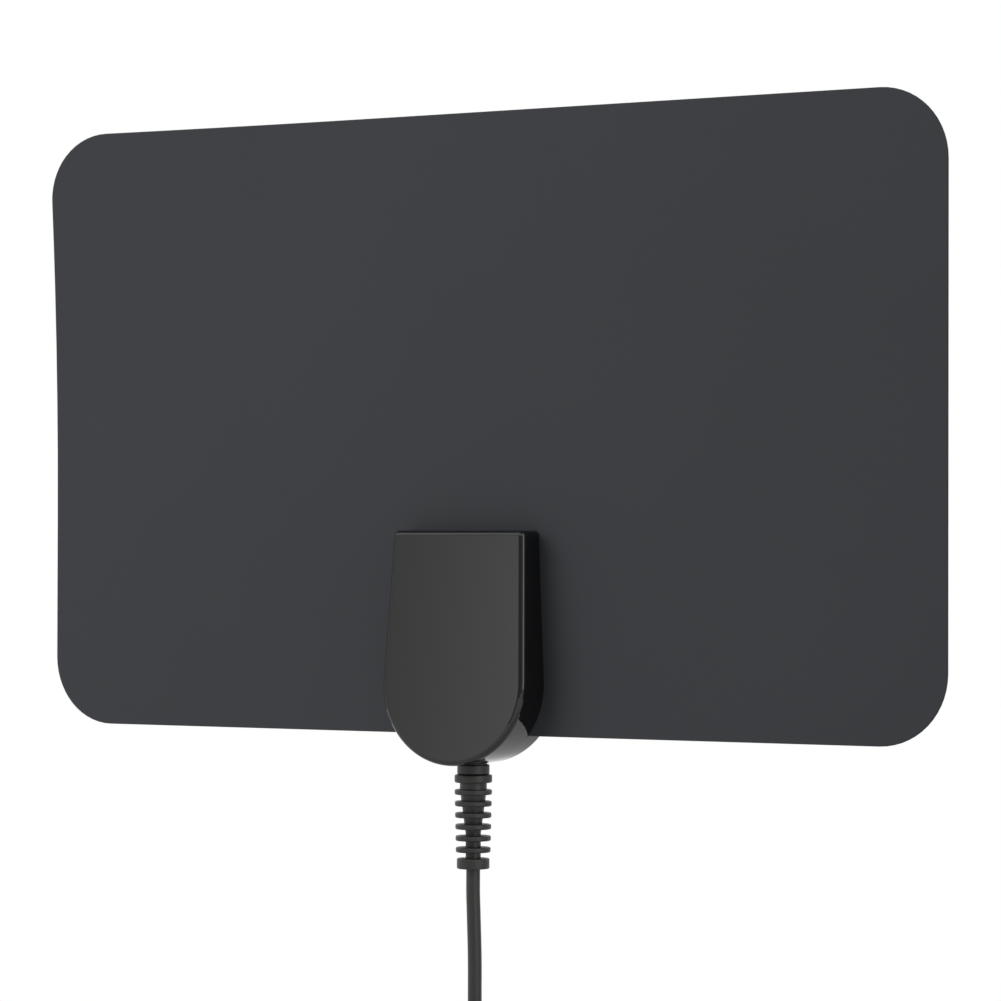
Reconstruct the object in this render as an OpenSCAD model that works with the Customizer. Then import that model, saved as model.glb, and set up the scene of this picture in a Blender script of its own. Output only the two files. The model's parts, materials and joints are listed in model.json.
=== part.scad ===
// Flat indoor television antenna: a thin dark laminated sheet with two foil
// elements inside, clamped at its lower edge by a D-shaped two-part housing that
// holds the matching board, with a ribbed strain relief and a coaxial lead.
// Origin: middle of the housing's flat rear face. +Z up, the front faces -Y.

/* [Sheet] */
// Width of the sheet
sheet_w = 330; // [280:1:400]
// Height of the sheet
sheet_h = 200; // [170:1:240]
// Radius of the sheet's corners
corner_r = 22.5; // [5:0.5:35]
// Thickness of the front film
front_film_t = 0.45; // [0.3:0.05:1]
// Thickness of the rear film
rear_film_t = 0.55; // [0.4:0.05:1]

/* [Curled corner] */
// Radius to which the upper left corner curls forward
curl_r = 750; // [600:10:1500]
// Where the curl starts on the top edge, from the left edge
curl_top = 130; // [90:1:150]
// Where the curl starts on the left edge, from the top edge
curl_side = 128; // [90:1:150]

/* [Foil elements] */
// Distance from the sheet's left and right edges to the foil
foil_side_margin = 15; // [12:0.5:20]
// Distance from the sheet's upper and lower edges to the foil
foil_margin = 25; // [20:0.5:28]
// Width of the foil strip round each element's window
foil_band = 22; // [10:1:30]
// Thickness of the foil
foil_t = 0.1; // [0.05:0.05:0.2]
// Distance from the centre line to each element
foil_gap = 32; // [28:0.5:36]
// Width of the strip that leads from an element to its contact
foil_tab_w = 8; // [7:0.5:12]
// Distance from the strip's end to the notch in the sheet
foil_tab_margin = 0.6; // [0.4:0.1:0.9]

/* [Housing] */
// Height of the housing
case_h = 75; // [72:0.5:90]
// Radius of the housing's round lower end
case_r = 26.2; // [25:0.1:27]
// Width of the housing at its top edge
case_top_w = 48.4; // [47:0.1:50]
// Depth of the front cover at its top edge
front_top_t = 9.8; // [8:0.1:12]
// Depth of the front cover at its lower end
front_low_t = 15.2; // [12:0.1:17]
// Depth of the housing behind the middle of the sheet
rear_t = 10; // [9.5:0.1:14]
// Wall of both covers
case_wall = 2; // [1.2:0.1:2.2]
// Radius of the covers' outer edges
case_edge_r = 1.8; // [0.8:0.1:1.9]
// How far the housing reaches below the sheet
case_drop = 9.5; // [8:0.5:12]
// How much narrower the rear cover is all round
cover_step = 0.2; // [0.1:0.05:0.4]
// Clearance between parts that slip together
slip = 0.2; // [0.1:0.05:0.3]

/* [Housing screws] */
// Distance of the upper screws from the centre line
screw_up_x = 16.5; // [16:0.1:17.5]
// Height of the upper screws above the origin
screw_up_z = 29; // [26:0.5:30]
// Distance of the lower screws from the centre line
screw_low_x = 19; // [18.8:0.1:20.5]
// Height of the lower screws above the origin
screw_low_z = -12; // [-13:0.5:-8]
// Radius of the screw bosses
boss_r = 3; // [2.8:0.1:3.1]
// Radius of the screws' shanks
screw_r = 1.3; // [1:0.05:1.4]
// Length of the screws under the head
screw_len = 12; // [10:0.5:12.5]
// Radius of the screw heads
screw_head_r = 2.3; // [2:0.1:2.4]
// Height of the screw heads
screw_head_h = 1.6; // [1.2:0.1:2]
// Depth of the recess for a screw head
screw_recess = 4; // [3:0.1:5]
// Radial clearance round a screw's shank
screw_slip = 0.05; // [0.03:0.01:0.1]

/* [Matching board] */
// Width of the board
board_w = 30; // [28:0.5:31]
// Height of the board
board_h = 44; // [40:0.5:46]
// Thickness of the board
board_t = 1.2; // [0.8:0.1:1.6]
// Height of the board's lower edge above the sheet's lower edge
board_low = 1; // [1:0.5:3]
// Distance from the lead's middle to the board's front face
board_drop = 2.5; // [2.4:0.1:3]
// Distance of the board's upper screws from the centre line
board_screw_x = 11.5; // [10:0.5:12]
// Height of the board's upper screws above the sheet's lower edge
board_screw_z = 41; // [39:0.5:42]
// Radius of the posts under the board
post_r = 2.5; // [2:0.1:2.6]
// Radius of the small screws' shanks
small_screw_r = 0.9; // [0.7:0.05:1]
// Length of the small screws under the head
small_screw_len = 4.4; // [3.5:0.1:4.8]
// Radius of the small screws' heads
small_head_r = 1.7; // [1.4:0.1:1.9]
// Height of the small screws' heads
small_head_h = 1.1; // [0.8:0.1:1.4]
// Width of the notch in the sheet that clears the board's parts
notch_w = 22; // [20:0.5:22.5]
// Height of the notch in the sheet
notch_h = 38; // [36:0.5:39]
// Radius of the ring along the middle of the ferrite core
core_ring_r = 2.9; // [2.6:0.1:3.2]
// Radius of the ferrite core's section
core_sec_r = 1.5; // [1.2:0.1:1.6]
// Height of the ferrite core's middle above the sheet's lower edge
core_z = 31.5; // [30.5:0.5:32]
// Radius of the winding's wire
winding_wire_r = 0.25; // [0.15:0.05:0.3]
// Number of turns on the ferrite core
winding_turns = 9; // [6:1:10]
// Part of the core's ring left without turns, in degrees
winding_gap = 60; // [40:5:120]
// Length of a chip capacitor
chip_l = 2; // [1.6:0.1:2.4]
// Distance of the chip capacitors from the centre line
chip_x = 7.5; // [7:0.5:9]
// Height of the upper chip capacitors above the sheet's lower edge
chip_z = 27; // [26:0.5:28]
// Distance from the upper to the lower chip capacitors
chip_pitch = 4; // [3:0.5:6]
// Width and height of a chip capacitor
chip_w = 1.2; // [0.8:0.1:1.4]

/* [Contacts] */
// Height of the spring contacts above the sheet's lower edge
contact_z = 33; // [32:0.5:34]
// Width of a spring contact
contact_w = 4; // [3:0.5:5]
// Thickness of a spring contact
contact_t = 0.3; // [0.2:0.05:0.4]
// Inner end of a spring contact from the centre line
contact_in = 12; // [11.9:0.1:12.2]
// Outer end of a spring contact from the centre line
contact_out = 14.5; // [14.2:0.1:14.8]

/* [Lead] */
// Diameter of the coaxial lead
lead_d = 4.5; // [4:0.1:4.8]
// Diameter of the lead's braid
braid_d = 3.5; // [3.2:0.1:3.8]
// Diameter of the lead's inner insulation
insulation_d = 2.9; // [2.6:0.1:3.1]
// Diameter of the lead's centre wire
wire_d = 0.8; // [0.6:0.1:1]
// Height above the sheet's lower edge at which the lead's outer skin is cut back
skin_top = 13; // [12:0.5:13.5]
// Length of braid left bare
braid_len = 3; // [2:0.5:3.5]
// Length of insulation left bare
insulation_len = 3.5; // [3:0.5:4]
// Length of centre wire left bare
wire_len = 3; // [2.5:0.5:3.5]
// Height of the cord clamp's middle above the sheet's lower edge
clamp_z = 7; // [6.5:0.5:7.5]
// Width of the cord clamp along the lead
clamp_w = 5; // [4:0.5:6]
// Thickness of the cord clamp
clamp_t = 0.8; // [0.6:0.1:1]
// Distance of the clamp screws from the centre line
clamp_screw_x = 6.5; // [6:0.5:7.5]
// Metal left beyond the heads of the clamp screws
clamp_rim = 0.5; // [0.3:0.1:0.8]

/* [Strain relief] */
// Radius of the strain relief's neck in the housing's wall
neck_r = 4.4; // [4:0.1:4.8]
// Radius of the flange that holds the strain relief inside
flange_r = 6; // [5.6:0.1:6.4]
// Thickness of that flange
flange_t = 1.8; // [1.5:0.1:2.2]
// Distance from the housing's wall to that flange
flange_gap = 1; // [0.8:0.1:1.5]
// Radius of the collar under the housing
collar_r = 5.2; // [5:0.1:5.8]
// Length of the collar under the housing
collar_len = 3.3; // [3:0.1:4]
// Radius of the thick first ring
ring_r = 6.05; // [5.8:0.05:6.6]
// Length of the thick first ring
ring_len = 2.6; // [2:0.1:3]
// Number of thin ribs
rib_count = 6; // [4:1:8]
// Distance from one rib to the next
rib_pitch = 3.7; // [3.2:0.1:4.2]
// Thickness of a rib
rib_t = 2; // [1.4:0.1:2.2]
// Radius of the first rib
rib_top_r = 6; // [5.8:0.1:6.4]
// Radius of the last rib
rib_low_r = 5.6; // [5.3:0.1:5.8]
// Gap between the first ring and the first rib
ring_gap = 2; // [1.5:0.1:2.5]
// Radius of the tapered core at its top
core_top_r = 4.4; // [4:0.1:4.8]
// Radius of the tapered core at its lower end
core_low_r = 2.75; // [2.7:0.05:3.2]
// Radius of the end block
end_r = 5.25; // [4.8:0.05:5.6]
// Length of the end block
end_len = 4.2; // [3:0.1:5]
// Rounding of the rings and ribs
rib_round = 0.5; // [0.2:0.1:0.6]

/* [Coil and plug] */
// Radius of the coil at the middle of its turns
coil_r = 25; // [24:0.5:26]
// Number of turns side by side and on each other
coil_rows = 3; // [2:1:3]
// Width of the tie round the coil
tie_w = 4; // [3:0.5:6]
// Thickness of the tie
tie_t = 0.8; // [0.6:0.1:1.2]
// Radius of the plug's grip
grip_r = 6; // [5.6:0.1:7]
// Length of the plug's grip
grip_len = 22; // [18:0.5:26]
// Length of the taper at the lead's end of the grip
grip_taper = 8; // [6:0.5:9]
// Number of grooves round the grip
grip_grooves = 4; // [3:1:5]
// Width of a groove round the grip
groove_w = 1.2; // [0.8:0.1:1.4]
// Radius of the plug's outer sleeve
sleeve_r = 4.75; // [4.7:0.05:4.8]
// Wall of the sleeve
sleeve_wall = 0.5; // [0.4:0.05:0.7]
// Length of the sleeve outside the grip
sleeve_len = 9.5; // [9:0.1:10]
// Depth of the step at the sleeve's root, where it enters the grip
root_step = 0.2; // [0.1:0.05:0.25]
// Length of the sleeve's root left outside the grip
root_len = 0.3; // [0.2:0.1:0.5]
// Radius of the plug's centre pin
pin_r = 1.2; // [1.15:0.01:1.25]
// Length of the pin outside the insulator
pin_len = 7; // [6.5:0.1:7.5]
// Thickness of the plug's insulator
insulator_t = 3; // [2:0.1:3.5]

/* [Hidden] */

curve_fn = 120;
corner_fn = 24;
curl_fn = 1440;
small_fn = 48;
edge_turn_step = 15;
disc_turn_step = 30;
far = 400;
over = 1;
eps = 0.01;

// Colours
film_colour = [0.085, 0.09, 0.095];
gloss_colour = [0.03, 0.03, 0.032];
cord_colour = [0.06, 0.06, 0.06];
tie_colour = [0.05, 0.05, 0.05];
foil_colour = [0.8, 0.8, 0.82];
brass_colour = [0.8, 0.65, 0.3];
steel_colour = [0.65, 0.66, 0.68];
board_colour = [0.1, 0.32, 0.16];
ferrite_colour = [0.2, 0.19, 0.2];
copper_colour = [0.72, 0.36, 0.18];
chip_colour = [0.72, 0.6, 0.45];

// Places in depth: the middle of the sheet is also the middle of the lead
mid_y = -rear_t;
sheet_t = front_film_t + rear_film_t;
sheet_front = mid_y - sheet_t / 2;
sheet_back = mid_y + sheet_t / 2;
foil_front = sheet_front + front_film_t;
foil_back = foil_front + foil_t;
curl_axis_y = sheet_back - curl_r;
curl_reach = sheet_h / 4;

// Places in height: the housing's middle is the origin
case_top = case_h / 2;
case_low = -case_h / 2;
arc_z = case_low + case_r;
sheet_low = case_low + case_drop;
sheet_mid = sheet_low + sheet_h / 2;

// The front face leans: deeper at its lower end
face_slope = (front_low_t - front_top_t) / case_h;
face_y = sheet_front - (front_top_t + front_low_t) / 2;

// The housing's sides lean in towards the top, tangent to the round end
side_rise = case_top - arc_z;
side_reach = norm([case_top_w / 2, side_rise]);
side_lean = atan2(side_rise, case_top_w / 2) - acos(case_r / side_reach);

// Board and what stands on it
board_front = mid_y + board_drop;
board_back = board_front + board_t;
board_posts = [[-board_screw_x, sheet_low + board_screw_z],
               [board_screw_x, sheet_low + board_screw_z],
               [-clamp_screw_x, sheet_low + clamp_z], [clamp_screw_x, sheet_low + clamp_z]];
small_hole_r = small_screw_r + screw_slip;
core_y = board_front - core_sec_r - 2 * winding_wire_r - 2 * screw_slip;
case_bosses = [[-screw_up_x, screw_up_z], [screw_up_x, screw_up_z],
               [-screw_low_x, screw_low_z], [screw_low_x, screw_low_z]];
screw_hole_r = screw_r + screw_slip;
screw_tip_gap = 0.4;
cross_share = 0.6;

// Strain relief, from the housing's wall down
collar_top = case_low;
ring_top = collar_top - collar_len;
ribs_top = ring_top - ring_len - ring_gap;
end_top = ribs_top - rib_count * rib_pitch;
relief_low = end_top - end_len;
flange_low = case_low + case_wall + flange_gap;

// Route of the lead below the strain relief, as far as the coil
cord_route = [[0, -10, -71.8], [0, -10, -74.5], [0, -10, -78.5], [0.2, -10, -84.5],
              [0.4, -10, -90.5], [0.6, -10, -96.5], [0.7, -10, -102.5], [0.7, -10, -107.5],
              [0.7, -10, -111.5], [0.7, -10, -115.5], [0.4, -10, -119.5], [-0.6, -10, -123],
              [-2, -10, -126.5], [-3.8, -10, -129.9]];
// Route of the lead from the coil to the plug
tail_route = [[-31, -14.5, -162.5], [-31, -14.5, -170], [-31, -14.5, -178], [-31, -14.5, -186],
              [-31, -14.5, -194], [-31, -14.5, -202.5]];
coil_mid = [3, -10, -162.5];
coil_side = coil_rows * lead_d;
plug_at = tail_route[len(tail_route) - 1];
tube_sides = 10;

// Lays a flat outline drawn in x and y up into the x-z plane, from y = front to y = back
module upright(front, back) {
    translate([0, back, 0])
    rotate([90, 0, 0])
    linear_extrude(back - front)
    children();
}

// A cylinder along +Y
module rod_y(r, y_from, y_to, fn = small_fn) {
    translate([0, y_to, 0])
    rotate([90, 0, 0])
    cylinder(r = r, h = y_to - y_from, $fn = fn);
}

// The sheet's outline, with the notch and the screw holes that the housing hides
module sheet_outline() {
    difference() {
        translate([0, sheet_mid]) {
            square([sheet_w - 2 * corner_r, sheet_h], center = true);
            square([sheet_w, sheet_h - 2 * corner_r], center = true);
            for (sx = [-1, 1], sz = [-1, 1])
                translate([sx * (sheet_w / 2 - corner_r), sz * (sheet_h / 2 - corner_r)])
                circle(r = corner_r, $fn = curve_fn);
        }
        translate([-notch_w / 2, sheet_low - over])
        square([notch_w, notch_h + over]);
        for (p = case_bosses)
            translate(p)
            circle(r = screw_hole_r + slip, $fn = small_fn);
    }
}

// Puts x along the line where the curl starts and z towards the curled corner
module curl_frame() {
    translate([-sheet_w / 2, 0, sheet_low + sheet_h - curl_side])
    rotate([0, -atan2(curl_side, curl_top), 0])
    children();
}

// One layer of the sheet: flat, with its upper left corner curled forward
module layer(front, back) {
    intersection() {
        upright(front, back) children();
        curl_frame()
        translate([-far, front - over, -2 * far])
        cube([3 * far, back - front + 2 * over, 2 * far]);
    }
    intersection() {
        upright(front - curl_reach, back) children();
        curl_frame()
        intersection() {
            translate([-far / 2, curl_axis_y, 0])
            rotate([0, 90, 0])
            difference() {
                cylinder(r = back - curl_axis_y, h = far, $fn = curl_fn);
                translate([0, 0, -over])
                cylinder(r = front - curl_axis_y, h = far + 2 * over, $fn = curl_fn);
            }
            translate([-far / 2 - over, front - curl_reach, 0])
            cube([far + 2 * over, curl_reach + back - front + over, sheet_h]);
        }
    }
}

// The left foil element: a window frame with a strip to its contact
module foil_outline() {
    side = -sheet_w / 2 + foil_side_margin;
    low = sheet_low + foil_margin;
    w = -foil_gap - side;
    h = sheet_h - 2 * foil_margin;
    tab_root = -foil_gap - foil_band / 2;
    difference() {
        translate([side, low])
        square([w, h]);
        translate([side + foil_band, low + foil_band])
        square([w - 2 * foil_band, h - 2 * foil_band]);
    }
    translate([tab_root, sheet_low + contact_z - foil_tab_w / 2])
    square([-notch_w / 2 - foil_tab_margin - tab_root, foil_tab_w]);
}

module foil_left() {
    color(foil_colour)
    layer(foil_front, foil_back)
    foil_outline();
}

module foil_right() {
    color(foil_colour)
    upright(foil_front, foil_back)
    mirror([1, 0])
    foil_outline();
}

module front_film() {
    color(film_colour)
    layer(sheet_front, foil_front)
    sheet_outline();
}

// Window in the rear film through which a spring contact reaches the foil
module contact_window() {
    translate([contact_in - slip, sheet_low + contact_z - contact_w / 2 - slip])
    square([contact_out - contact_in + 2 * slip, contact_w + 2 * slip]);
}

module rear_film() {
    color(film_colour)
    difference() {
        layer(foil_front, sheet_back)
        difference() {
            sheet_outline();
            contact_window();
            mirror([1, 0]) contact_window();
        }
        layer(foil_front - eps, foil_back)
        foil_outline();
        upright(foil_front - eps, foil_back)
        mirror([1, 0])
        foil_outline();
    }
}

// A point on the housing's side line, held inset from the outline
function side_foot(inset) =
    [(case_r - inset) * cos(side_lean), arc_z + (case_r - inset) * sin(side_lean)];
function side_corner(inset) =
    [((case_r - inset) - (side_rise - inset) * sin(side_lean)) / cos(side_lean), case_top - inset];

// The housing's D-shaped outline, held inset, with sharp upper corners
module case_outline(inset) {
    foot = side_foot(inset);
    corner = side_corner(inset);
    translate([0, arc_z])
    circle(r = case_r - inset, $fn = curve_fn);
    polygon([foot, corner, [-corner[0], corner[1]], [-foot[0], foot[1]]]);
}

// A ring or ball turned about Y, with its round section of the edge radius
module edge_turn(ring_r, fn) {
    r = case_edge_r;
    rotate([90, 0, 0])
    rotate_extrude($fn = fn)
    polygon([for (a = [-90 : edge_turn_step : 90]) [ring_r + r * cos(a), r * sin(a)],
             [0, r], [0, -r]]);
}

// A solid block of the housing's outline, held inset, from y = face to y = back.
// Its face has a rounded edge and comes forward by slope for each unit downwards.
module case_block(inset, face, slope, back) {
    r = case_edge_r;
    c = side_corner(inset + r);
    hull() {
        multmatrix([[1, 0, 0, 0], [0, 1, slope, face + r], [0, 0, 1, 0], [0, 0, 0, 1]]) {
            translate([0, 0, arc_z]) edge_turn(case_r - inset - r, curve_fn);
            for (sx = [-1, 1])
                translate([sx * c[0], 0, c[1]]) edge_turn(0, corner_fn);
        }
        translate([0, 0, arc_z]) rod_y(case_r - inset, back - over, back, curve_fn);
        for (sx = [-1, 1])
            translate([sx * c[0], 0, c[1]]) rod_y(r, back - over, back, corner_fn);
    }
}

// The room inside the front cover, depth behind its leaning face
module front_room(depth) {
    intersection() {
        upright(-far / 2, mid_y + over) case_outline(depth);
        translate([0, face_y, 0])
        rotate([-atan(face_slope), 0, 0])
        translate([-far / 2, depth, -far / 2])
        cube([far, far, far]);
    }
}

// Room for the sheet between the covers
module sheet_slot() {
    translate([-far / 2, sheet_front, sheet_low - slip])
    cube([far, sheet_t, far / 2]);
}

// Room for the strain relief: neck in the wall and flange inside
module relief_room() {
    translate([0, mid_y, 0]) {
        translate([0, 0, case_low - over])
        cylinder(r = neck_r + screw_slip, h = case_wall + flange_gap + 2 * over, $fn = curve_fn);
        translate([0, 0, flange_low - screw_slip])
        cylinder(r = flange_r + slip, h = flange_t + 2 * screw_slip, $fn = curve_fn);
    }
}

module front_cover() {
    boss_end = sheet_front;
    color(gloss_colour)
    difference() {
        union() {
            difference() {
                case_block(0, face_y, face_slope, mid_y);
                front_room(case_wall);
            }
            intersection() {
                for (p = case_bosses)
                    translate([p[0], 0, p[1]])
                    rod_y(boss_r, face_y - front_low_t, boss_end);
                front_room(case_wall / 2);
            }
        }
        sheet_slot();
        for (p = case_bosses)
            translate([p[0], 0, p[1]])
            rod_y(screw_hole_r, -screw_recess - screw_len - screw_tip_gap, boss_end + over);
        relief_room();
    }
}

module rear_cover() {
    color(gloss_colour)
    difference() {
        union() {
            difference() {
                mirror([0, 1, 0]) case_block(cover_step, 0, 0, -mid_y);
                mirror([0, 1, 0])
                upright(case_wall, far / 4)
                case_outline(case_wall + cover_step);
            }
            for (p = case_bosses)
                translate([p[0], 0, p[1]])
                rod_y(boss_r, sheet_back, -case_wall / 2);
            for (p = board_posts)
                translate([p[0], 0, p[1]])
                rod_y(post_r, board_back, -case_wall / 2);
        }
        sheet_slot();
        for (p = case_bosses)
            translate([p[0], 0, p[1]]) {
                rod_y(screw_hole_r, sheet_back - over, over);
                rod_y(screw_head_r + slip, -screw_recess, over);
            }
        for (p = board_posts)
            translate([p[0], 0, p[1]])
            rod_y(small_hole_r, board_back - over, board_front + small_screw_len + screw_tip_gap);
        relief_room();
    }
}

// A pan-head screw along Y with its head at y = 0 towards +Y, and a cross recess
module pan_screw(r, len, head_r, head_h) {
    slot_w = head_r / 4;
    rod_y(r, -len, eps);
    difference() {
        rod_y(head_r, 0, head_h);
        for (turn = [0, 90])
            rotate([0, turn, 0])
            translate([-head_r * cross_share, head_h / 2, -slot_w / 2])
            cube([2 * head_r * cross_share, head_h, slot_w]);
    }
}

module cover_screws() {
    color(steel_colour)
    for (p = case_bosses)
        translate([p[0], -screw_recess, p[1]])
        pan_screw(screw_r, screw_len, screw_head_r, screw_head_h);
}

module small_screws(places, seat_y) {
    color(steel_colour)
    for (p = places)
        translate([p[0], seat_y, p[1]])
        mirror([0, 1, 0])
        pan_screw(small_screw_r, small_screw_len, small_head_r, small_head_h);
}

module board_screws() {
    small_screws([board_posts[0], board_posts[1]], board_front);
}

module clamp_screws() {
    small_screws([board_posts[2], board_posts[3]], board_front - clamp_t);
}

module matching_board() {
    color(board_colour)
    difference() {
        translate([-board_w / 2, board_front, sheet_low + board_low])
        cube([board_w, board_t, board_h]);
        for (p = board_posts)
            translate([p[0], 0, p[1]])
            rod_y(small_hole_r, board_front - over, board_back + over);
    }
}

module ferrite_core() {
    color(ferrite_colour)
    translate([0, core_y, sheet_low + core_z])
    rotate([90, 0, 0])
    rotate_extrude($fn = curve_fn)
    translate([core_ring_r, 0])
    circle(r = core_sec_r, $fn = small_fn);
}

module core_winding() {
    color(copper_colour)
    translate([0, core_y, sheet_low + core_z])
    for (i = [0 : winding_turns - 1])
        rotate([0, winding_gap / 2 + i * (360 - winding_gap) / (winding_turns - 1), 0])
        translate([0, 0, core_ring_r])
        rotate([0, 90, 0])
        rotate_extrude($fn = small_fn)
        translate([core_sec_r + winding_wire_r + screw_slip, 0])
        circle(r = winding_wire_r, $fn = corner_fn);
}

module chip_capacitors() {
    color(chip_colour)
    for (sx = [-1, 1], row = [0, 1])
        translate([sx * chip_x - chip_l / 2, board_front - chip_w,
                   sheet_low + chip_z - row * chip_pitch - chip_w / 2])
        cube([chip_l, chip_w, chip_w]);
}

// The right spring contact: a Z-shaped leaf from the board to the foil
module spring_contact() {
    t = contact_t;
    a = contact_in;
    b = contact_out;
    low = board_front;
    high = foil_back;
    color(brass_colour)
    translate([0, 0, sheet_low + contact_z - contact_w / 2])
    linear_extrude(contact_w)
    polygon([[a, low], [a, low - t], [b - 2 * t, low - t], [a + t, high + t], [a, high + t],
             [a, high], [b - t, high], [b - t, high + t], [a + 3 * t, high + t], [b, low - t],
             [b, low]]);
}

module contact_right() {
    spring_contact();
}

module contact_left() {
    mirror([1, 0, 0]) spring_contact();
}

// A strap over the lead with a foot on each side, screwed through the board
module cord_clamp() {
    in_r = lead_d / 2 + screw_slip;
    out_r = in_r + clamp_t;
    foot_x = clamp_screw_x + small_head_r + clamp_rim;
    color(steel_colour)
    difference() {
        translate([0, 0, sheet_low + clamp_z - clamp_w / 2])
        linear_extrude(clamp_w)
        difference() {
            union() {
                translate([0, mid_y])
                circle(r = out_r, $fn = curve_fn);
                translate([-out_r, mid_y])
                square([2 * out_r, board_drop]);
                translate([-foot_x, board_front - clamp_t])
                square([2 * foot_x, clamp_t]);
            }
            translate([0, mid_y])
            circle(r = in_r, $fn = curve_fn);
            translate([-in_r, mid_y])
            square([2 * in_r, board_drop + over]);
        }
        for (sx = [-1, 1])
            translate([sx * clamp_screw_x, 0, sheet_low + clamp_z])
            rod_y(small_hole_r, board_front - clamp_t - over, board_front + over);
    }
}

// A cylinder along the lead's own line
module lead_piece(r, z_from, z_to) {
    translate([0, mid_y, z_from])
    cylinder(r = r, h = z_to - z_from, $fn = small_fn);
}

module lead_skin() {
    color(cord_colour) lead_piece(lead_d / 2, relief_low, sheet_low + skin_top);
}

module lead_braid() {
    from = sheet_low + skin_top;
    color(steel_colour) lead_piece(braid_d / 2, from, from + braid_len);
}

module lead_insulation() {
    from = sheet_low + skin_top + braid_len;
    color("white") lead_piece(insulation_d / 2, from, from + insulation_len);
}

module lead_wire() {
    from = sheet_low + skin_top + braid_len + insulation_len;
    r = wire_d / 2;
    color(brass_colour) {
        lead_piece(r, from, from + wire_len);
        translate([0, mid_y, from + wire_len])
        sphere(r = r, $fn = small_fn);
        translate([0, 0, from + wire_len])
        rod_y(r, mid_y, board_front);
    }
}

// Outer profile of a disc of radius r from z = high down to low, its rims rounded
function disc_profile(r, high, low) =
    let (k = rib_round)
    concat([for (a = [90 : -disc_turn_step : 0]) [r - k + k * cos(a), high - k + k * sin(a)]],
           [for (a = [0 : -disc_turn_step : -90]) [r - k + k * cos(a), low + k + k * sin(a)]]);

// Radius of the tapered core at height z
function core_at(z) = core_low_r + (core_top_r - core_low_r) * (z - end_top) / (ring_top - end_top);

// A rib with the core above and below it
function rib_profile(i) =
    let (high = ribs_top - i * rib_pitch, low = high - rib_t,
         r = rib_top_r + (rib_low_r - rib_top_r) * i / max(rib_count - 1, 1))
    concat([[core_at(high), high]], disc_profile(r, high, low), [[core_at(low), low]]);

// Tapered core with a flange and neck inside, a collar, a thick ring, ribs and an end block
module strain_relief() {
    bore_r = lead_d / 2 + screw_slip;
    flange_top = flange_low + flange_t;
    color(cord_colour)
    translate([0, mid_y, 0])
    rotate_extrude($fn = curve_fn)
    polygon(concat(
        [[bore_r, flange_top], [flange_r, flange_top], [flange_r, flange_low],
         [neck_r, flange_low], [neck_r, collar_top]],
        disc_profile(collar_r, collar_top, ring_top),
        disc_profile(ring_r, ring_top, ring_top - ring_len),
        [[core_at(ring_top - ring_len), ring_top - ring_len]],
        [for (i = [0 : rib_count - 1]) each rib_profile(i)],
        [[core_at(end_top), end_top]],
        disc_profile(end_r, end_top, relief_low),
        [[bore_r, relief_low]]));
}

// A round tube swept through the points of a route in a plane of constant y
function route_dir(p, i) =
    let (a = p[max(i - 1, 0)], b = p[min(i + 1, len(p) - 1)]) (b - a) / norm(b - a);
function tube_ring(p, i, r) =
    let (d = route_dir(p, i), side = [0, 1, 0], up = cross(d, side))
    [for (k = [0 : tube_sides - 1])
        p[i] + r * (cos(360 * k / tube_sides) * side + sin(360 * k / tube_sides) * up)];

module tube(route, r) {
    n = len(route);
    m = tube_sides;
    points = [for (i = [0 : n - 1]) each tube_ring(route, i, r)];
    sides = [for (i = [0 : n - 2], k = [0 : m - 1])
        [i * m + k, i * m + (k + 1) % m, (i + 1) * m + (k + 1) % m, (i + 1) * m + k]];
    first = [for (k = [m - 1 : -1 : 0]) k];
    last = [for (k = [0 : m - 1]) (n - 1) * m + k];
    polyhedron(points, concat([first], sides, [last]));
}

module cord() {
    color(cord_colour) tube(cord_route, lead_d / 2);
}

module cord_tail() {
    color(cord_colour) tube(tail_route, lead_d / 2);
}

// Section of the wound lead: a square of turns with rounded corners
module bundle_section(grow) {
    side = coil_side + 2 * grow;
    r = lead_d / 2 + grow;
    square([side - 2 * r, side], center = true);
    square([side, side - 2 * r], center = true);
    for (sx = [-1, 1], sy = [-1, 1])
        translate([sx * (side / 2 - r), sy * (side / 2 - r)])
        circle(r = r, $fn = small_fn);
}

module cord_coil() {
    color(cord_colour)
    translate(coil_mid)
    rotate([90, 0, 0])
    rotate_extrude($fn = curve_fn)
    translate([coil_r, 0])
    bundle_section(0);
}

// A band round the turns at the coil's lowest point
module cord_tie() {
    color(tie_colour)
    translate(coil_mid + [-tie_w / 2, 0, -coil_r])
    rotate([90, 0, 90])
    linear_extrude(tie_w)
    difference() {
        bundle_section(slip + tie_t);
        bundle_section(slip);
    }
}

// The moulded grip of the push-on coaxial plug, its end towards -Z
module plug_grip() {
    groove_at = grip_len - grip_taper - 2 * groove_w;
    color(gloss_colour)
    translate(plug_at - [0, 0, grip_len])
    difference() {
        rotate_extrude($fn = curve_fn)
        difference() {
            union() {
                translate([0, rib_round]) square([grip_r, grip_len - grip_taper - rib_round]);
                square([grip_r - rib_round, 2 * rib_round]);
                translate([grip_r - rib_round, rib_round])
                circle(r = rib_round, $fn = small_fn);
                polygon([[0, grip_len - grip_taper], [grip_r, grip_len - grip_taper],
                         [lead_d / 2 + 1, grip_len], [0, grip_len]]);
            }
            for (i = [0 : grip_grooves - 1])
                translate([grip_r, groove_at - i * 2 * groove_w])
                circle(r = groove_w / 2, $fn = small_fn);
        }
        translate([0, 0, -over])
        cylinder(r = sleeve_r - root_step + screw_slip, h = insulator_t + over, $fn = small_fn);
    }
}

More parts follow.
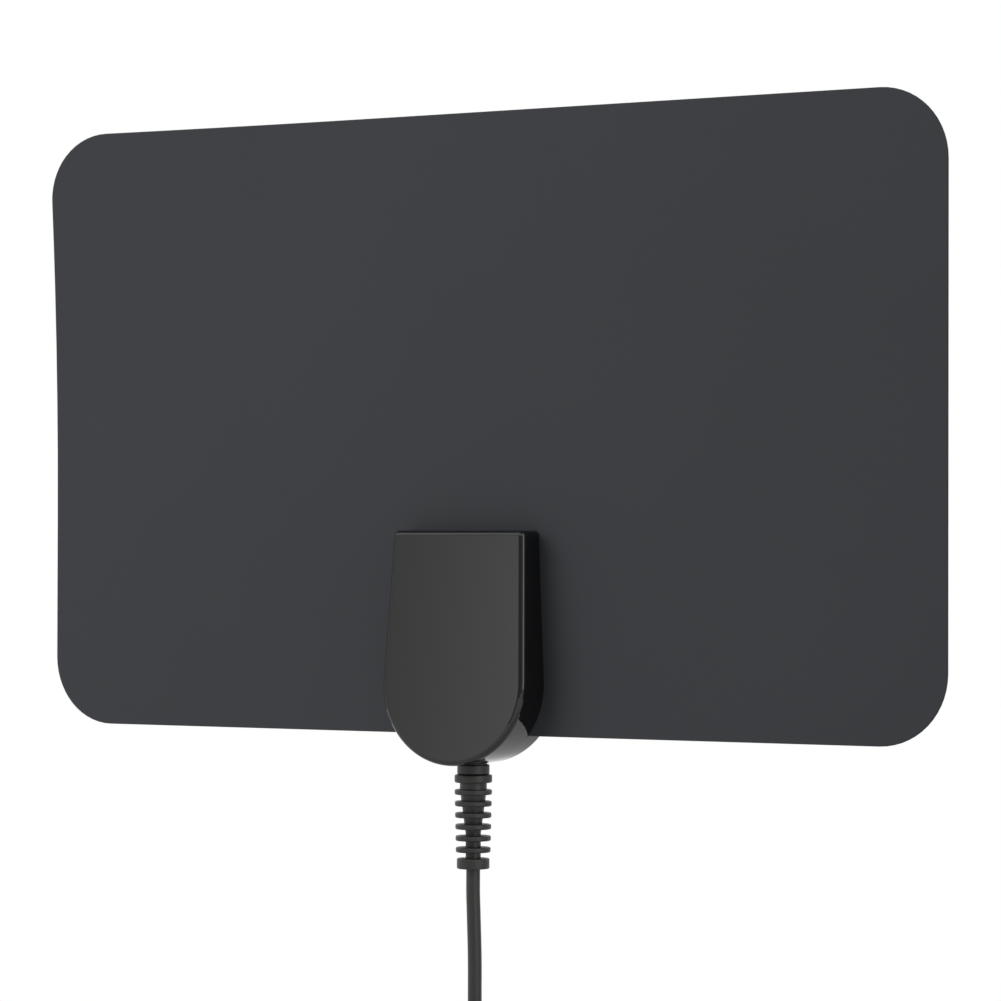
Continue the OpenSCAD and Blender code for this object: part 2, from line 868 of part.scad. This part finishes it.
// The sleeve that pushes over the socket, stepped in where it is moulded into the grip
module plug_sleeve() {
    full_len = sleeve_len + insulator_t;
    color(steel_colour)
    translate(plug_at - [0, 0, grip_len + sleeve_len])
    difference() {
        union() {
            cylinder(r = sleeve_r, h = sleeve_len - root_len, $fn = curve_fn);
            cylinder(r = sleeve_r - root_step, h = full_len, $fn = curve_fn);
        }
        translate([0, 0, -over])
        cylinder(r = sleeve_r - sleeve_wall, h = full_len + 2 * over, $fn = curve_fn);
    }
}

module plug_insulator() {
    color("white")
    translate(plug_at - [0, 0, grip_len])
    difference() {
        cylinder(r = sleeve_r - sleeve_wall - screw_slip, h = insulator_t, $fn = curve_fn);
        translate([0, 0, -over])
        cylinder(r = pin_r + screw_slip, h = insulator_t + 2 * over, $fn = small_fn);
    }
}

module plug_pin() {
    color(brass_colour)
    translate(plug_at - [0, 0, grip_len + pin_len]) {
        translate([0, 0, pin_r])
        cylinder(r = pin_r, h = pin_len + insulator_t - pin_r, $fn = small_fn);
        translate([0, 0, pin_r])
        sphere(r = pin_r, $fn = small_fn);
    }
}

front_film();
rear_film();
foil_left();
foil_right();
front_cover();
rear_cover();
cover_screws();
matching_board();
board_screws();
ferrite_core();
core_winding();
chip_capacitors();
contact_left();
contact_right();
cord_clamp();
clamp_screws();
lead_skin();
lead_braid();
lead_insulation();
lead_wire();
strain_relief();
cord();
cord_coil();
cord_tie();
cord_tail();
plug_grip();
plug_sleeve();
plug_insulator();
plug_pin();
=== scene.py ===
"""Looks of the flat television antenna: lead, rounded edges, finishes, floor and light.

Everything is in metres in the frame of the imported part: the origin is the middle of the
housing's flat rear face, +Z is up and the front faces -Y.
"""

import json
import math

import bmesh
import bpy
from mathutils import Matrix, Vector

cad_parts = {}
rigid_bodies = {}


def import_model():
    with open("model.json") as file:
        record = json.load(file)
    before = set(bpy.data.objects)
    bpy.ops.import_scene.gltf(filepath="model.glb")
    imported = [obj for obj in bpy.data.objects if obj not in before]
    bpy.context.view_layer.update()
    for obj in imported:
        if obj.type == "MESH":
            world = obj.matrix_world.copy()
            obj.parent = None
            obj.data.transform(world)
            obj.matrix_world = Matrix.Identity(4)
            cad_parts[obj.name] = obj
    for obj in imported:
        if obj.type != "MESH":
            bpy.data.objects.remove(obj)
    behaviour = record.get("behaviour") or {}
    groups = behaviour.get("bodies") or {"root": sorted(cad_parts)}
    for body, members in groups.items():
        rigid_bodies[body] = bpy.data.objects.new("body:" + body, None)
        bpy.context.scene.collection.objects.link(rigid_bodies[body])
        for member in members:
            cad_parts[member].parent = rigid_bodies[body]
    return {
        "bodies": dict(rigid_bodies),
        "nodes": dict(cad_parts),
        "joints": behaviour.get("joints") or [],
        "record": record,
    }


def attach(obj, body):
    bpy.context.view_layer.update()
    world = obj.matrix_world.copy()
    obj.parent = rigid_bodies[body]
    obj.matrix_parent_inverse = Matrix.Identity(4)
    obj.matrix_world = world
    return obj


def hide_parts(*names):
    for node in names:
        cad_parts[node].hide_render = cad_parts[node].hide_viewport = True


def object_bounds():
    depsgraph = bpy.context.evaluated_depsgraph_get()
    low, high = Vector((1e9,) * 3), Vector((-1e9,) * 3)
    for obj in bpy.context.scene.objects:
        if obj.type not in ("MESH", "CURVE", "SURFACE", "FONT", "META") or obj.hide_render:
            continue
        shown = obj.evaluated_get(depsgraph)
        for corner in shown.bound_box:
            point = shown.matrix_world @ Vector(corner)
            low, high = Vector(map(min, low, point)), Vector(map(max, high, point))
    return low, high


# Camera, as fitted to the sheet's outline in the photograph
CAMERA_PLACE = (0.636, -1.0945, 0.0320)
CAMERA_TURN_DEG = (90.69, -0.13, 30.0)
LENS_MM = 140.76
SENSOR_MM = 36.0

# Lead: its depth down to the coil, and the (x, z) places that it passes on the way
LEAD_D = 0.0045
LEAD_Y = -0.010
LEAD_ROUTE = [
    (0.0, -0.0718), (0.0, -0.0745), (0.0, -0.0785), (0.0002, -0.0845), (0.0004, -0.0905),
    (0.0006, -0.0965), (0.0007, -0.1025), (0.0007, -0.1075), (0.0007, -0.1115),
    (0.0007, -0.1155), (0.0004, -0.1195), (-0.0006, -0.1230), (-0.0020, -0.1265),
    (-0.0038, -0.1299),
]
BEND_DEG = (40, 48, 56)
PLUG_END = (-0.031, -0.0145, -0.2025)
TAIL_STEPS = 4

# Coil: its middle, the angle where the lead comes in and where it leaves, and for each turn
# its place in lead widths, outwards and towards the back
COIL_MID = (0.003, LEAD_Y, -0.1625)
COIL_R = 0.025
COIL_IN_DEG = 120
COIL_OUT_DEG = 180
COIL_STEP_DEG = 7.5
COIL_PLACES = [(1, 0), (1, 1), (0, 1), (0, 0), (-1, 0), (-1, -1), (0, -1), (1, -1), (2, -1)]

# Where the first turn crosses over to the next, how much sooner each later one does, and
# the angle that a crossing takes
CROSS_FIRST_DEG = 80
CROSS_STEP_DEG = 15
CROSS_WIDTH_DEG = 72

# Round section of the lead, and the length of its pieces
TUBE_RESOLUTION = 5
TUBE_STEP = 0.0012

# Rounded rim of the films: corners this close are one, and faces this flat are one
RIM_R = 0.00035
RIM_STEPS = 3
RIM_PROFILE = 0.5
SAME_PLACE = 1e-7
FLAT_DEG = 0.05

# An edge is on the rim if one face is turned away from Y and the other one towards it; the
# housing hides a part of the sheet (half its width, lower and upper end)
SIDE_MOST = 0.5
FACE_LEAST = 0.7
HIDDEN = (0.03, -0.0275, 0.05)
FRONT = -1
REAR = 1

# How sharp an edge has to be to stay sharp
SHARP_DEG = 35

# Strain relief of the solids: the lead's bore, (height, radius) at the core's lower and upper
# end, its top ring and its ribs; the block is all that lies under the core
BORE_R = 0.0023
CORE_LOW = (-0.0676, 0.00275)
CORE_TOP = (-0.0408, 0.0044)
RING_LOW_Z = -0.0434
RIBS_TOP_Z = -0.0454
RIB_COUNT = 6
RIB_PITCH = 0.0037
RIB_T = 0.002
NEAR = 0.00002

# How it looks on the photograph: a core that tapers to the lead, thinner ribs and block
SLIM_LOW = (-0.0597, 0.00245)
SLIM_TOP = (-0.0455, 0.00435)
RIB_SHARE = 0.85
BLOCK_SHARE = 0.81

# Noise lies mostly between these two values
NOISE_RANGE = (0.3, 0.7)
CLOUD_DETAIL = 2.0
GRAIN_DETAIL = 3.0

# One finish for each slot of the record
FINISHES = {
    "film": dict(colour=(0.0396, 0.0425, 0.0475), rough=0.55, specular=0.25, spread=0.02,
                 cloud_scale=14, grain_scale=3000, grain_depth=0.000012),
    "gloss_case": dict(colour=(0.0085, 0.0085, 0.0095), rough=0.05, spread=0.05,
                       rough_spread=0.01, cloud_scale=40, grain_scale=300),
    "soft_black": dict(colour=(0.018, 0.018, 0.0168), rough=0.42, spread=0.08,
                       cloud_scale=150, grain_scale=4000, grain_depth=0.00001),
    "foil": dict(colour=(0.8, 0.8, 0.82), rough=0.3, metallic=1.0, spread=0.03,
                 grain_scale=1500, grain_depth=0.00001),
    "board": dict(colour=(0.08, 0.28, 0.13), rough=0.35, cloud_scale=300,
                  grain_depth=0.000008),
    "ferrite": dict(colour=(0.06, 0.06, 0.065), rough=0.6, spread=0.15, cloud_scale=900,
                    grain_depth=0.00002),
    "copper": dict(colour=(0.75, 0.36, 0.2), rough=0.25, metallic=1.0, cloud_scale=500),
    "brass": dict(colour=(0.8, 0.62, 0.32), rough=0.28, metallic=1.0, cloud_scale=300),
    "steel": dict(colour=(0.6, 0.61, 0.63), rough=0.32, metallic=1.0, cloud_scale=400,
                  grain_scale=5000, grain_depth=0.000004),
    "nickel": dict(colour=(0.72, 0.71, 0.69), rough=0.16, metallic=1.0, spread=0.04,
                   cloud_scale=300),
    "white_plastic": dict(colour=(0.82, 0.82, 0.8), rough=0.4, spread=0.03,
                          cloud_scale=400, grain_depth=0.000006),
    "chip": dict(colour=(0.55, 0.43, 0.3), rough=0.45, cloud_scale=1500),
}

# Floor: it fades to white between two distances from its middle, from a least share of white
FLOOR_Z = -0.2455
FLOOR_SIZE = 12.0
FLOOR_COLOUR = (0.93, 0.93, 0.93, 1)
FLOOR_ROUGH = 0.9
FLOOR_FADE = (0.35, 0.75)
FLOOR_LEAST_WHITE = 0.35

# Light: that from all sides, the white that is seen, and one soft lamp on the left
AMBIENT = 0.34
SEEN_WHITE = 1.0
KEY_PLACE = (-0.6, -1.0, 0.65)
KEY_TARGET = (0, 0, 0.05)
KEY_SIZE = (0.9, 0.9)
KEY_RADIANCE = 3.5

# What gloss mirrors of the studio: strength by direction, in degrees round from the front
# towards +X, and above that by the sine of the height over the horizon
MIRROR_ROUND = [(-180, 0.72), (-33, 0.72), (-31.6, 0.85), (-30.7, 1.18), (-29.7, 1.5),
                (-28.5, 1.6), (-25.5, 0.3), (44, 0.3), (54, 2.5), (86, 2.5), (98, 0.3), (180, 0.3)]
MIRROR_HIGH = [(0.42, 1.9), (0.66, 1.9), (0.78, 0.3), (1.0, 0.3)]
HIGH_FROM = (0.30, 0.45)


def load_frame():
    """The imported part, and the box that it takes."""
    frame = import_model()
    return frame, [list(corner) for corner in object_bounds()]


def make_camera():
    """The photograph's viewpoint."""
    data = bpy.data.cameras.new("camera")
    data.lens = LENS_MM
    data.sensor_width = SENSOR_MM
    camera = bpy.data.objects.new("camera", data)
    camera.location = CAMERA_PLACE
    camera.rotation_euler = [math.radians(a) for a in CAMERA_TURN_DEG]
    bpy.context.scene.collection.objects.link(camera)
    bpy.context.scene.camera = camera


def smooth_step(t):
    """0 up to t = 0, 1 from t = 1, and a soft change between them."""
    t = min(max(t, 0.0), 1.0)
    return t * t * (3 - 2 * t)


def coil_place(angle):
    """Radius and depth of the lead in the coil, at an angle that counts on through the turns."""
    place = Vector(COIL_PLACES[0])
    for k in range(1, len(COIL_PLACES)):
        middle = 360 * k + CROSS_FIRST_DEG - CROSS_STEP_DEG * (k - 1)
        share = smooth_step((angle - middle) / CROSS_WIDTH_DEG + 0.5)
        place += share * (Vector(COIL_PLACES[k]) - Vector(COIL_PLACES[k - 1]))
    return COIL_R + place[0] * LEAD_D, COIL_MID[1] + place[1] * LEAD_D


def coil_points():
    """The lead in the coil, from where it comes in to where it leaves."""
    turns = len(COIL_PLACES) - 1
    first = COIL_IN_DEG
    last = 360 * turns + COIL_OUT_DEG
    points = []
    for i in range(round((last - first) / COIL_STEP_DEG) + 1):
        angle = first + i * COIL_STEP_DEG
        radius, depth = coil_place(angle)
        turn = math.radians(angle)
        x = COIL_MID[0] + radius * math.cos(turn)
        z = COIL_MID[2] + radius * math.sin(turn)
        points.append((x, depth, z))
    return points


def lead_in_points():
    """The bend from the end of the route, tangent to the coil's outer turn."""
    outer = COIL_R + LEAD_D
    turn = math.radians(COIL_IN_DEG)
    touch = (COIL_MID[0] + outer * math.cos(turn), COIL_MID[2] + outer * math.sin(turn))
    end = math.radians(180 - COIL_IN_DEG)
    mid = (touch[0] - COIL_R * math.cos(end), touch[1] + COIL_R * math.sin(end))
    return [
        (mid[0] + COIL_R * math.cos(math.radians(a)), COIL_MID[1],
         mid[1] - COIL_R * math.sin(math.radians(a)))
        for a in BEND_DEG
    ]


def lead_out_points():
    """Straight down from the coil to the plug."""
    start = Vector((PLUG_END[0], PLUG_END[1], COIL_MID[2]))
    end = Vector(PLUG_END)
    return [tuple(start.lerp(end, (i + 1) / TAIL_STEPS)) for i in range(TAIL_STEPS)]


def through(points, step):
    """A smooth line through the points, with a point about every step."""
    p = [Vector(q) for q in points]
    p = [2 * p[0] - p[1]] + p + [2 * p[-1] - p[-2]]
    line = []
    for a, b, c, d in zip(p, p[1:], p[2:], p[3:]):
        knots = [0.0]
        for u, v in ((a, b), (b, c), (c, d)):
            knots.append(knots[-1] + math.sqrt((v - u).length))
        t0, t1, t2, t3 = knots
        count = max(1, round((c - b).length / step))
        for i in range(count):
            t = t1 + (t2 - t1) * i / count
            a1 = a.lerp(b, (t - t0) / (t1 - t0))
            a2 = b.lerp(c, (t - t1) / (t2 - t1))
            a3 = c.lerp(d, (t - t2) / (t3 - t2))
            b1 = a1.lerp(a2, (t - t0) / (t2 - t0))
            b2 = a2.lerp(a3, (t - t1) / (t3 - t1))
            line.append(b1.lerp(b2, (t - t1) / (t2 - t1)))
    line.append(p[-2])
    return line


def tube_curve(name, line, radius):
    """A round tube along the line; its points hold the radius, so that its box is a true one."""
    data = bpy.data.curves.new(name, "CURVE")
    data.dimensions = "3D"
    data.bevel_depth = 1.0
    data.bevel_resolution = TUBE_RESOLUTION
    data.use_fill_caps = True
    spline = data.splines.new("POLY")
    spline.points.add(len(line) - 1)
    for point, place in zip(spline.points, line):
        point.co = (*place, 1.0)
        point.radius = radius
    spline.use_smooth = True
    obj = bpy.data.objects.new(name, data)
    bpy.context.scene.collection.objects.link(obj)
    return obj


def make_lead():
    """One curve replaces the solids of the lead, which are hidden; it rides on the root body."""
    route = [(x, LEAD_Y, z) for x, z in LEAD_ROUTE]
    points = route + lead_in_points() + coil_points() + lead_out_points()
    lead = tube_curve("lead", through(points, TUBE_STEP), LEAD_D / 2)
    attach(lead, "root")
    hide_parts("cord", "cord_coil", "cord_tail")
    return lead


def on_rim(edge, side):
    """Whether the edge is on the outer rim of the face that looks towards side of Y."""
    if len(edge.link_faces) != 2:
        return False
    least_turned = min(abs(face.normal.y) for face in edge.link_faces)
    most_towards = max(face.normal.y * side for face in edge.link_faces)
    middle = (edge.verts[0].co + edge.verts[1].co) / 2
    half, low, high = HIDDEN
    hidden = abs(middle.x) < half and low < middle.z < high
    return least_turned < SIDE_MOST and most_towards > FACE_LEAST and not hidden


def round_rim(mesh, side):
    """Rounds the outer rim of a film's face that looks towards side of Y."""
    work = bmesh.new()
    work.from_mesh(mesh)
    bmesh.ops.remove_doubles(work, verts=work.verts, dist=SAME_PLACE)
    bmesh.ops.dissolve_limit(work, angle_limit=math.radians(FLAT_DEG), verts=work.verts,
                             edges=work.edges)
    work.normal_update()
    rim = [edge for edge in work.edges if on_rim(edge, side)]
    bmesh.ops.bevel(work, geom=rim, offset=RIM_R, segments=RIM_STEPS, profile=RIM_PROFILE,
                    affect="EDGES", clamp_overlap=False)
    work.to_mesh(mesh)
    work.free()


def along(low, high, z):
    """Radius at height z on the line from one (height, radius) to another, held at its ends."""
    share = min(max((z - low[0]) / (high[0] - low[0]), 0.0), 1.0)
    return low[1] + share * (high[1] - low[1])


def slim_relief(mesh):
    """Slims the core between the ribs, and the ribs and the block at the lead's end."""
    for vertex in mesh.vertices:
        x, y, z = vertex.co
        y -= LEAD_Y
        r = math.hypot(x, y)
        on_core = BORE_R + NEAR < r < along(CORE_LOW, CORE_TOP, z) + NEAR
        if on_core and CORE_LOW[0] - NEAR < z < RING_LOW_Z + NEAR:
            share = along(SLIM_LOW, SLIM_TOP, z) / r
            vertex.co.x = x * share
            vertex.co.y = LEAD_Y + y * share
        for i in range(RIB_COUNT):
            middle = RIBS_TOP_Z - i * RIB_PITCH - RIB_T / 2
            if abs(z - middle) < RIB_T / 2 + NEAR:
                vertex.co.z = middle + (z - middle) * RIB_SHARE
        if z < CORE_LOW[0] - NEAR:
            vertex.co.z = CORE_LOW[0] + (z - CORE_LOW[0]) * BLOCK_SHARE


def keep_shape(mesh):
    """For a copy that differs from its solid in its shading alone."""


def smooth_copy(obj, reshape):
    """A copy with smooth shading replaces the piece; reshape changes the copy's mesh."""
    mesh = obj.data.copy()
    reshape(mesh)
    mesh.shade_smooth()
    mesh.set_sharp_from_angle(angle=math.radians(SHARP_DEG))
    copy = bpy.data.objects.new(obj.name + "_smooth", mesh)
    copy.matrix_world = obj.matrix_world.copy()
    bpy.context.scene.collection.objects.link(copy)
    weigh = copy.modifiers.new("weighted", "WEIGHTED_NORMAL")
    weigh.keep_sharp = True
    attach(copy, "root")
    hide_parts(obj.name)
    return copy


def feed(tree, socket, value):
    """Sets a socket to a number, or links another node's output to it."""
    if isinstance(value, float):
        socket.default_value = value
    else:
        tree.links.new(value, socket)


def calculate(tree, operation, first, second=None, clamp=False):
    """Result of a math node; each value is a number or another node's output."""
    node = tree.nodes.new("ShaderNodeMath")
    node.operation = operation
    node.use_clamp = clamp
    feed(tree, node.inputs[0], first)
    if second is not None:
        feed(tree, node.inputs[1], second)
    return node.outputs[0]


def map_range(tree, value, taken, given=(0.0, 1.0), way="LINEAR"):
    """Brings a value from the range taken to the range given, and holds it within that."""
    node = tree.nodes.new("ShaderNodeMapRange")
    node.interpolation_type = way
    node.inputs["From Min"].default_value = taken[0]
    node.inputs["From Max"].default_value = taken[1]
    node.inputs["To Min"].default_value = given[0]
    node.inputs["To Max"].default_value = given[1]
    tree.links.new(value, node.inputs["Value"])
    return node.outputs["Result"]


def blend(tree, share, first, second):
    """The first strength where share is 0, the second where it is 1."""
    node = tree.nodes.new("ShaderNodeMix")
    feed(tree, node.inputs["Factor"], share)
    feed(tree, node.inputs["A"], first)
    feed(tree, node.inputs["B"], second)
    return node.outputs["Result"]


def noise(tree, coords, scale, detail):
    """Soft noise in the object's own coordinates."""
    node = tree.nodes.new("ShaderNodeTexNoise")
    node.inputs["Scale"].default_value = scale
    node.inputs["Detail"].default_value = detail
    tree.links.new(coords, node.inputs["Vector"])
    return node.outputs["Fac"]


def shades(tree, value, dark, light):
    """A colour between dark and light, by the noise given."""
    node = tree.nodes.new("ShaderNodeMix")
    node.data_type = "RGBA"
    node.inputs["A"].default_value = (*dark, 1)
    node.inputs["B"].default_value = (*light, 1)
    tree.links.new(map_range(tree, value, NOISE_RANGE), node.inputs["Factor"])
    return node.outputs["Result"]


def finish(name, colour, rough, metallic=0.0, specular=0.5, spread=0.1, rough_spread=0.05,
           cloud_scale=60.0, grain_scale=2500.0, grain_depth=0.0):
    """A surface with cloudy shades, uneven gloss and a fine grain."""
    material = bpy.data.materials.new(name)
    material.use_nodes = True
    tree = material.node_tree
    shader = tree.nodes["Principled BSDF"]
    coords = tree.nodes.new("ShaderNodeTexCoord").outputs["Object"]
    cloud = noise(tree, coords, cloud_scale, CLOUD_DETAIL)
    dark = [c * (1 - spread) for c in colour]
    light = [c * (1 + spread) for c in colour]
    tree.links.new(shades(tree, cloud, dark, light), shader.inputs["Base Color"])
    grain = noise(tree, coords, grain_scale, GRAIN_DETAIL)
    rough_range = (rough - rough_spread, rough + rough_spread)
    tree.links.new(map_range(tree, grain, NOISE_RANGE, rough_range), shader.inputs["Roughness"])
    shader.inputs["Metallic"].default_value = metallic
    shader.inputs["Specular IOR Level"].default_value = specular
    if grain_depth:
        bump = tree.nodes.new("ShaderNodeBump")
        bump.inputs["Strength"].default_value = 1.0
        bump.inputs["Distance"].default_value = grain_depth
        tree.links.new(grain, bump.inputs["Height"])
        tree.links.new(bump.outputs["Normal"], shader.inputs["Normal"])
    return material


def paint(obj, material):
    """Gives the whole object one material."""
    obj.data.materials.clear()
    obj.data.materials.append(material)


def paint_nodes(nodes, record, finishes):
    """Paints each solid with the finish of its slot."""
    slots = {part["node"]: part["material_slot"] for part in record["subparts"]}
    for name, obj in nodes.items():
        paint(obj, finishes[slots[name]])


def seen_directly(tree):
    """1 for camera, glossy and transmission rays, 0 for diffuse light."""
    path = tree.nodes.new("ShaderNodeLightPath")
    total = path.outputs["Is Camera Ray"]
    for ray in ("Is Glossy Ray", "Is Transmission Ray"):
        total = calculate(tree, "ADD", total, path.outputs[ray], clamp=True)
    return total


def floor_material():
    """Takes the shadow near the middle and turns white further off."""
    material = bpy.data.materials.new("floor")
    material.use_nodes = True
    tree = material.node_tree
    shader = tree.nodes["Principled BSDF"]
    shader.inputs["Base Color"].default_value = FLOOR_COLOUR
    shader.inputs["Roughness"].default_value = FLOOR_ROUGH
    shader.inputs["Specular IOR Level"].default_value = 0.0
    white = tree.nodes.new("ShaderNodeEmission")
    coords = tree.nodes.new("ShaderNodeTexCoord")
    distance = tree.nodes.new("ShaderNodeVectorMath")
    distance.operation = "LENGTH"
    tree.links.new(coords.outputs["Object"], distance.inputs[0])
    fade = map_range(tree, distance.outputs["Value"], FLOOR_FADE, (FLOOR_LEAST_WHITE, 1.0),
                     "SMOOTHSTEP")
    mix = tree.nodes.new("ShaderNodeMixShader")
    tree.links.new(calculate(tree, "MULTIPLY", fade, seen_directly(tree)), mix.inputs["Fac"])
    tree.links.new(shader.outputs[0], mix.inputs[1])
    tree.links.new(white.outputs[0], mix.inputs[2])
    tree.links.new(mix.outputs[0], tree.nodes["Material Output"].inputs["Surface"])
    return material


def make_floor():
    """A pale floor under the plug."""
    half = FLOOR_SIZE / 2
    mesh = bpy.data.meshes.new("floor")
    corners = [(-half, -half, 0), (half, -half, 0), (half, half, 0), (-half, half, 0)]
    mesh.from_pydata(corners, [], [(0, 1, 2, 3)])
    floor = bpy.data.objects.new("floor", mesh)
    floor.location = (0, 0, FLOOR_Z)
    bpy.context.scene.collection.objects.link(floor)
    paint(floor, floor_material())


def strength_ramp(tree, value, stops, low, high):
    """A soft line through (value, strength) stops; values run from low to high."""
    top = max(strength for _, strength in stops)
    ramp = tree.nodes.new("ShaderNodeValToRGB")
    ramp.color_ramp.interpolation = "EASE"
    marks = ramp.color_ramp.elements
    while len(marks) < len(stops):
        marks.new(0.5)
    for mark, (place, strength) in zip(marks, stops):
        mark.position = (place - low) / (high - low)
        mark.color = (strength / top,) * 3 + (1,)
    tree.links.new(map_range(tree, value, (low, high)), ramp.inputs["Fac"])
    return calculate(tree, "MULTIPLY", ramp.outputs["Color"], top)


def mirrored_studio(tree):
    """Strength of what gloss mirrors: soft bright and dark zones round the object."""
    coords = tree.nodes.new("ShaderNodeTexCoord")
    ways = tree.nodes.new("ShaderNodeSeparateXYZ")
    tree.links.new(coords.outputs["Generated"], ways.inputs[0])
    forward = calculate(tree, "MULTIPLY", ways.outputs["Y"], -1.0)
    turn = calculate(tree, "ARCTAN2", ways.outputs["X"], forward)
    degrees = calculate(tree, "DEGREES", turn)
    low = strength_ramp(tree, degrees, MIRROR_ROUND, -180, 180)
    high = strength_ramp(tree, ways.outputs["Z"], MIRROR_HIGH, 0, 1)
    share = map_range(tree, ways.outputs["Z"], HIGH_FROM, way="SMOOTHSTEP")
    return blend(tree, share, low, high)


def make_world():
    """White where it is seen, a studio where it is mirrored, softer as light on the object."""
    world = bpy.data.worlds.new("studio")
    world.use_nodes = True
    tree = world.node_tree
    background = tree.nodes["Background"]
    background.inputs["Color"].default_value = (1, 1, 1, 1)
    path = tree.nodes.new("ShaderNodeLightPath")
    strength = blend(tree, path.outputs["Is Glossy Ray"], AMBIENT, mirrored_studio(tree))
    strength = blend(tree, path.outputs["Is Transmission Ray"], strength, SEEN_WHITE)
    strength = blend(tree, path.outputs["Is Camera Ray"], strength, SEEN_WHITE)
    tree.links.new(strength, background.inputs["Strength"])
    bpy.context.scene.world = world


def make_softbox(name, place, target, size, radiance):
    """A lamp that lights the object and is neither seen nor mirrored."""
    data = bpy.data.lights.new(name, "AREA")
    data.shape = "RECTANGLE"
    data.size = size[0]
    data.size_y = size[1]
    data.energy = radiance * math.pi * size[0] * size[1]
    lamp = bpy.data.objects.new(name, data)
    lamp.location = place
    aim = Vector(target) - Vector(place)
    lamp.rotation_euler = aim.to_track_quat("-Z", "Y").to_euler()
    bpy.context.scene.collection.objects.link(lamp)
    lamp.visible_camera = False
    lamp.visible_glossy = False


def main():
    frame, cad_box = load_frame()
    nodes = frame["nodes"]
    make_camera()
    lead = make_lead()
    finishes = {slot: finish(slot, **look) for slot, look in FINISHES.items()}
    paint_nodes(nodes, frame["record"], finishes)
    paint(lead, finishes["soft_black"])
    copies = [
        ("front_film", "film", lambda mesh: round_rim(mesh, FRONT)),
        ("rear_film", "film", lambda mesh: round_rim(mesh, REAR)),
        ("front_cover", "gloss_case", keep_shape),
        ("rear_cover", "gloss_case", keep_shape),
        ("strain_relief", "soft_black", slim_relief),
    ]
    for name, slot, reshape in copies:
        paint(smooth_copy(nodes[name], reshape), finishes[slot])
    make_floor()
    make_world()
    make_softbox("key", KEY_PLACE, KEY_TARGET, KEY_SIZE, KEY_RADIANCE)
    bpy.context.scene.view_settings.view_transform = "Standard"
    bpy.context.view_layer.update()


main()
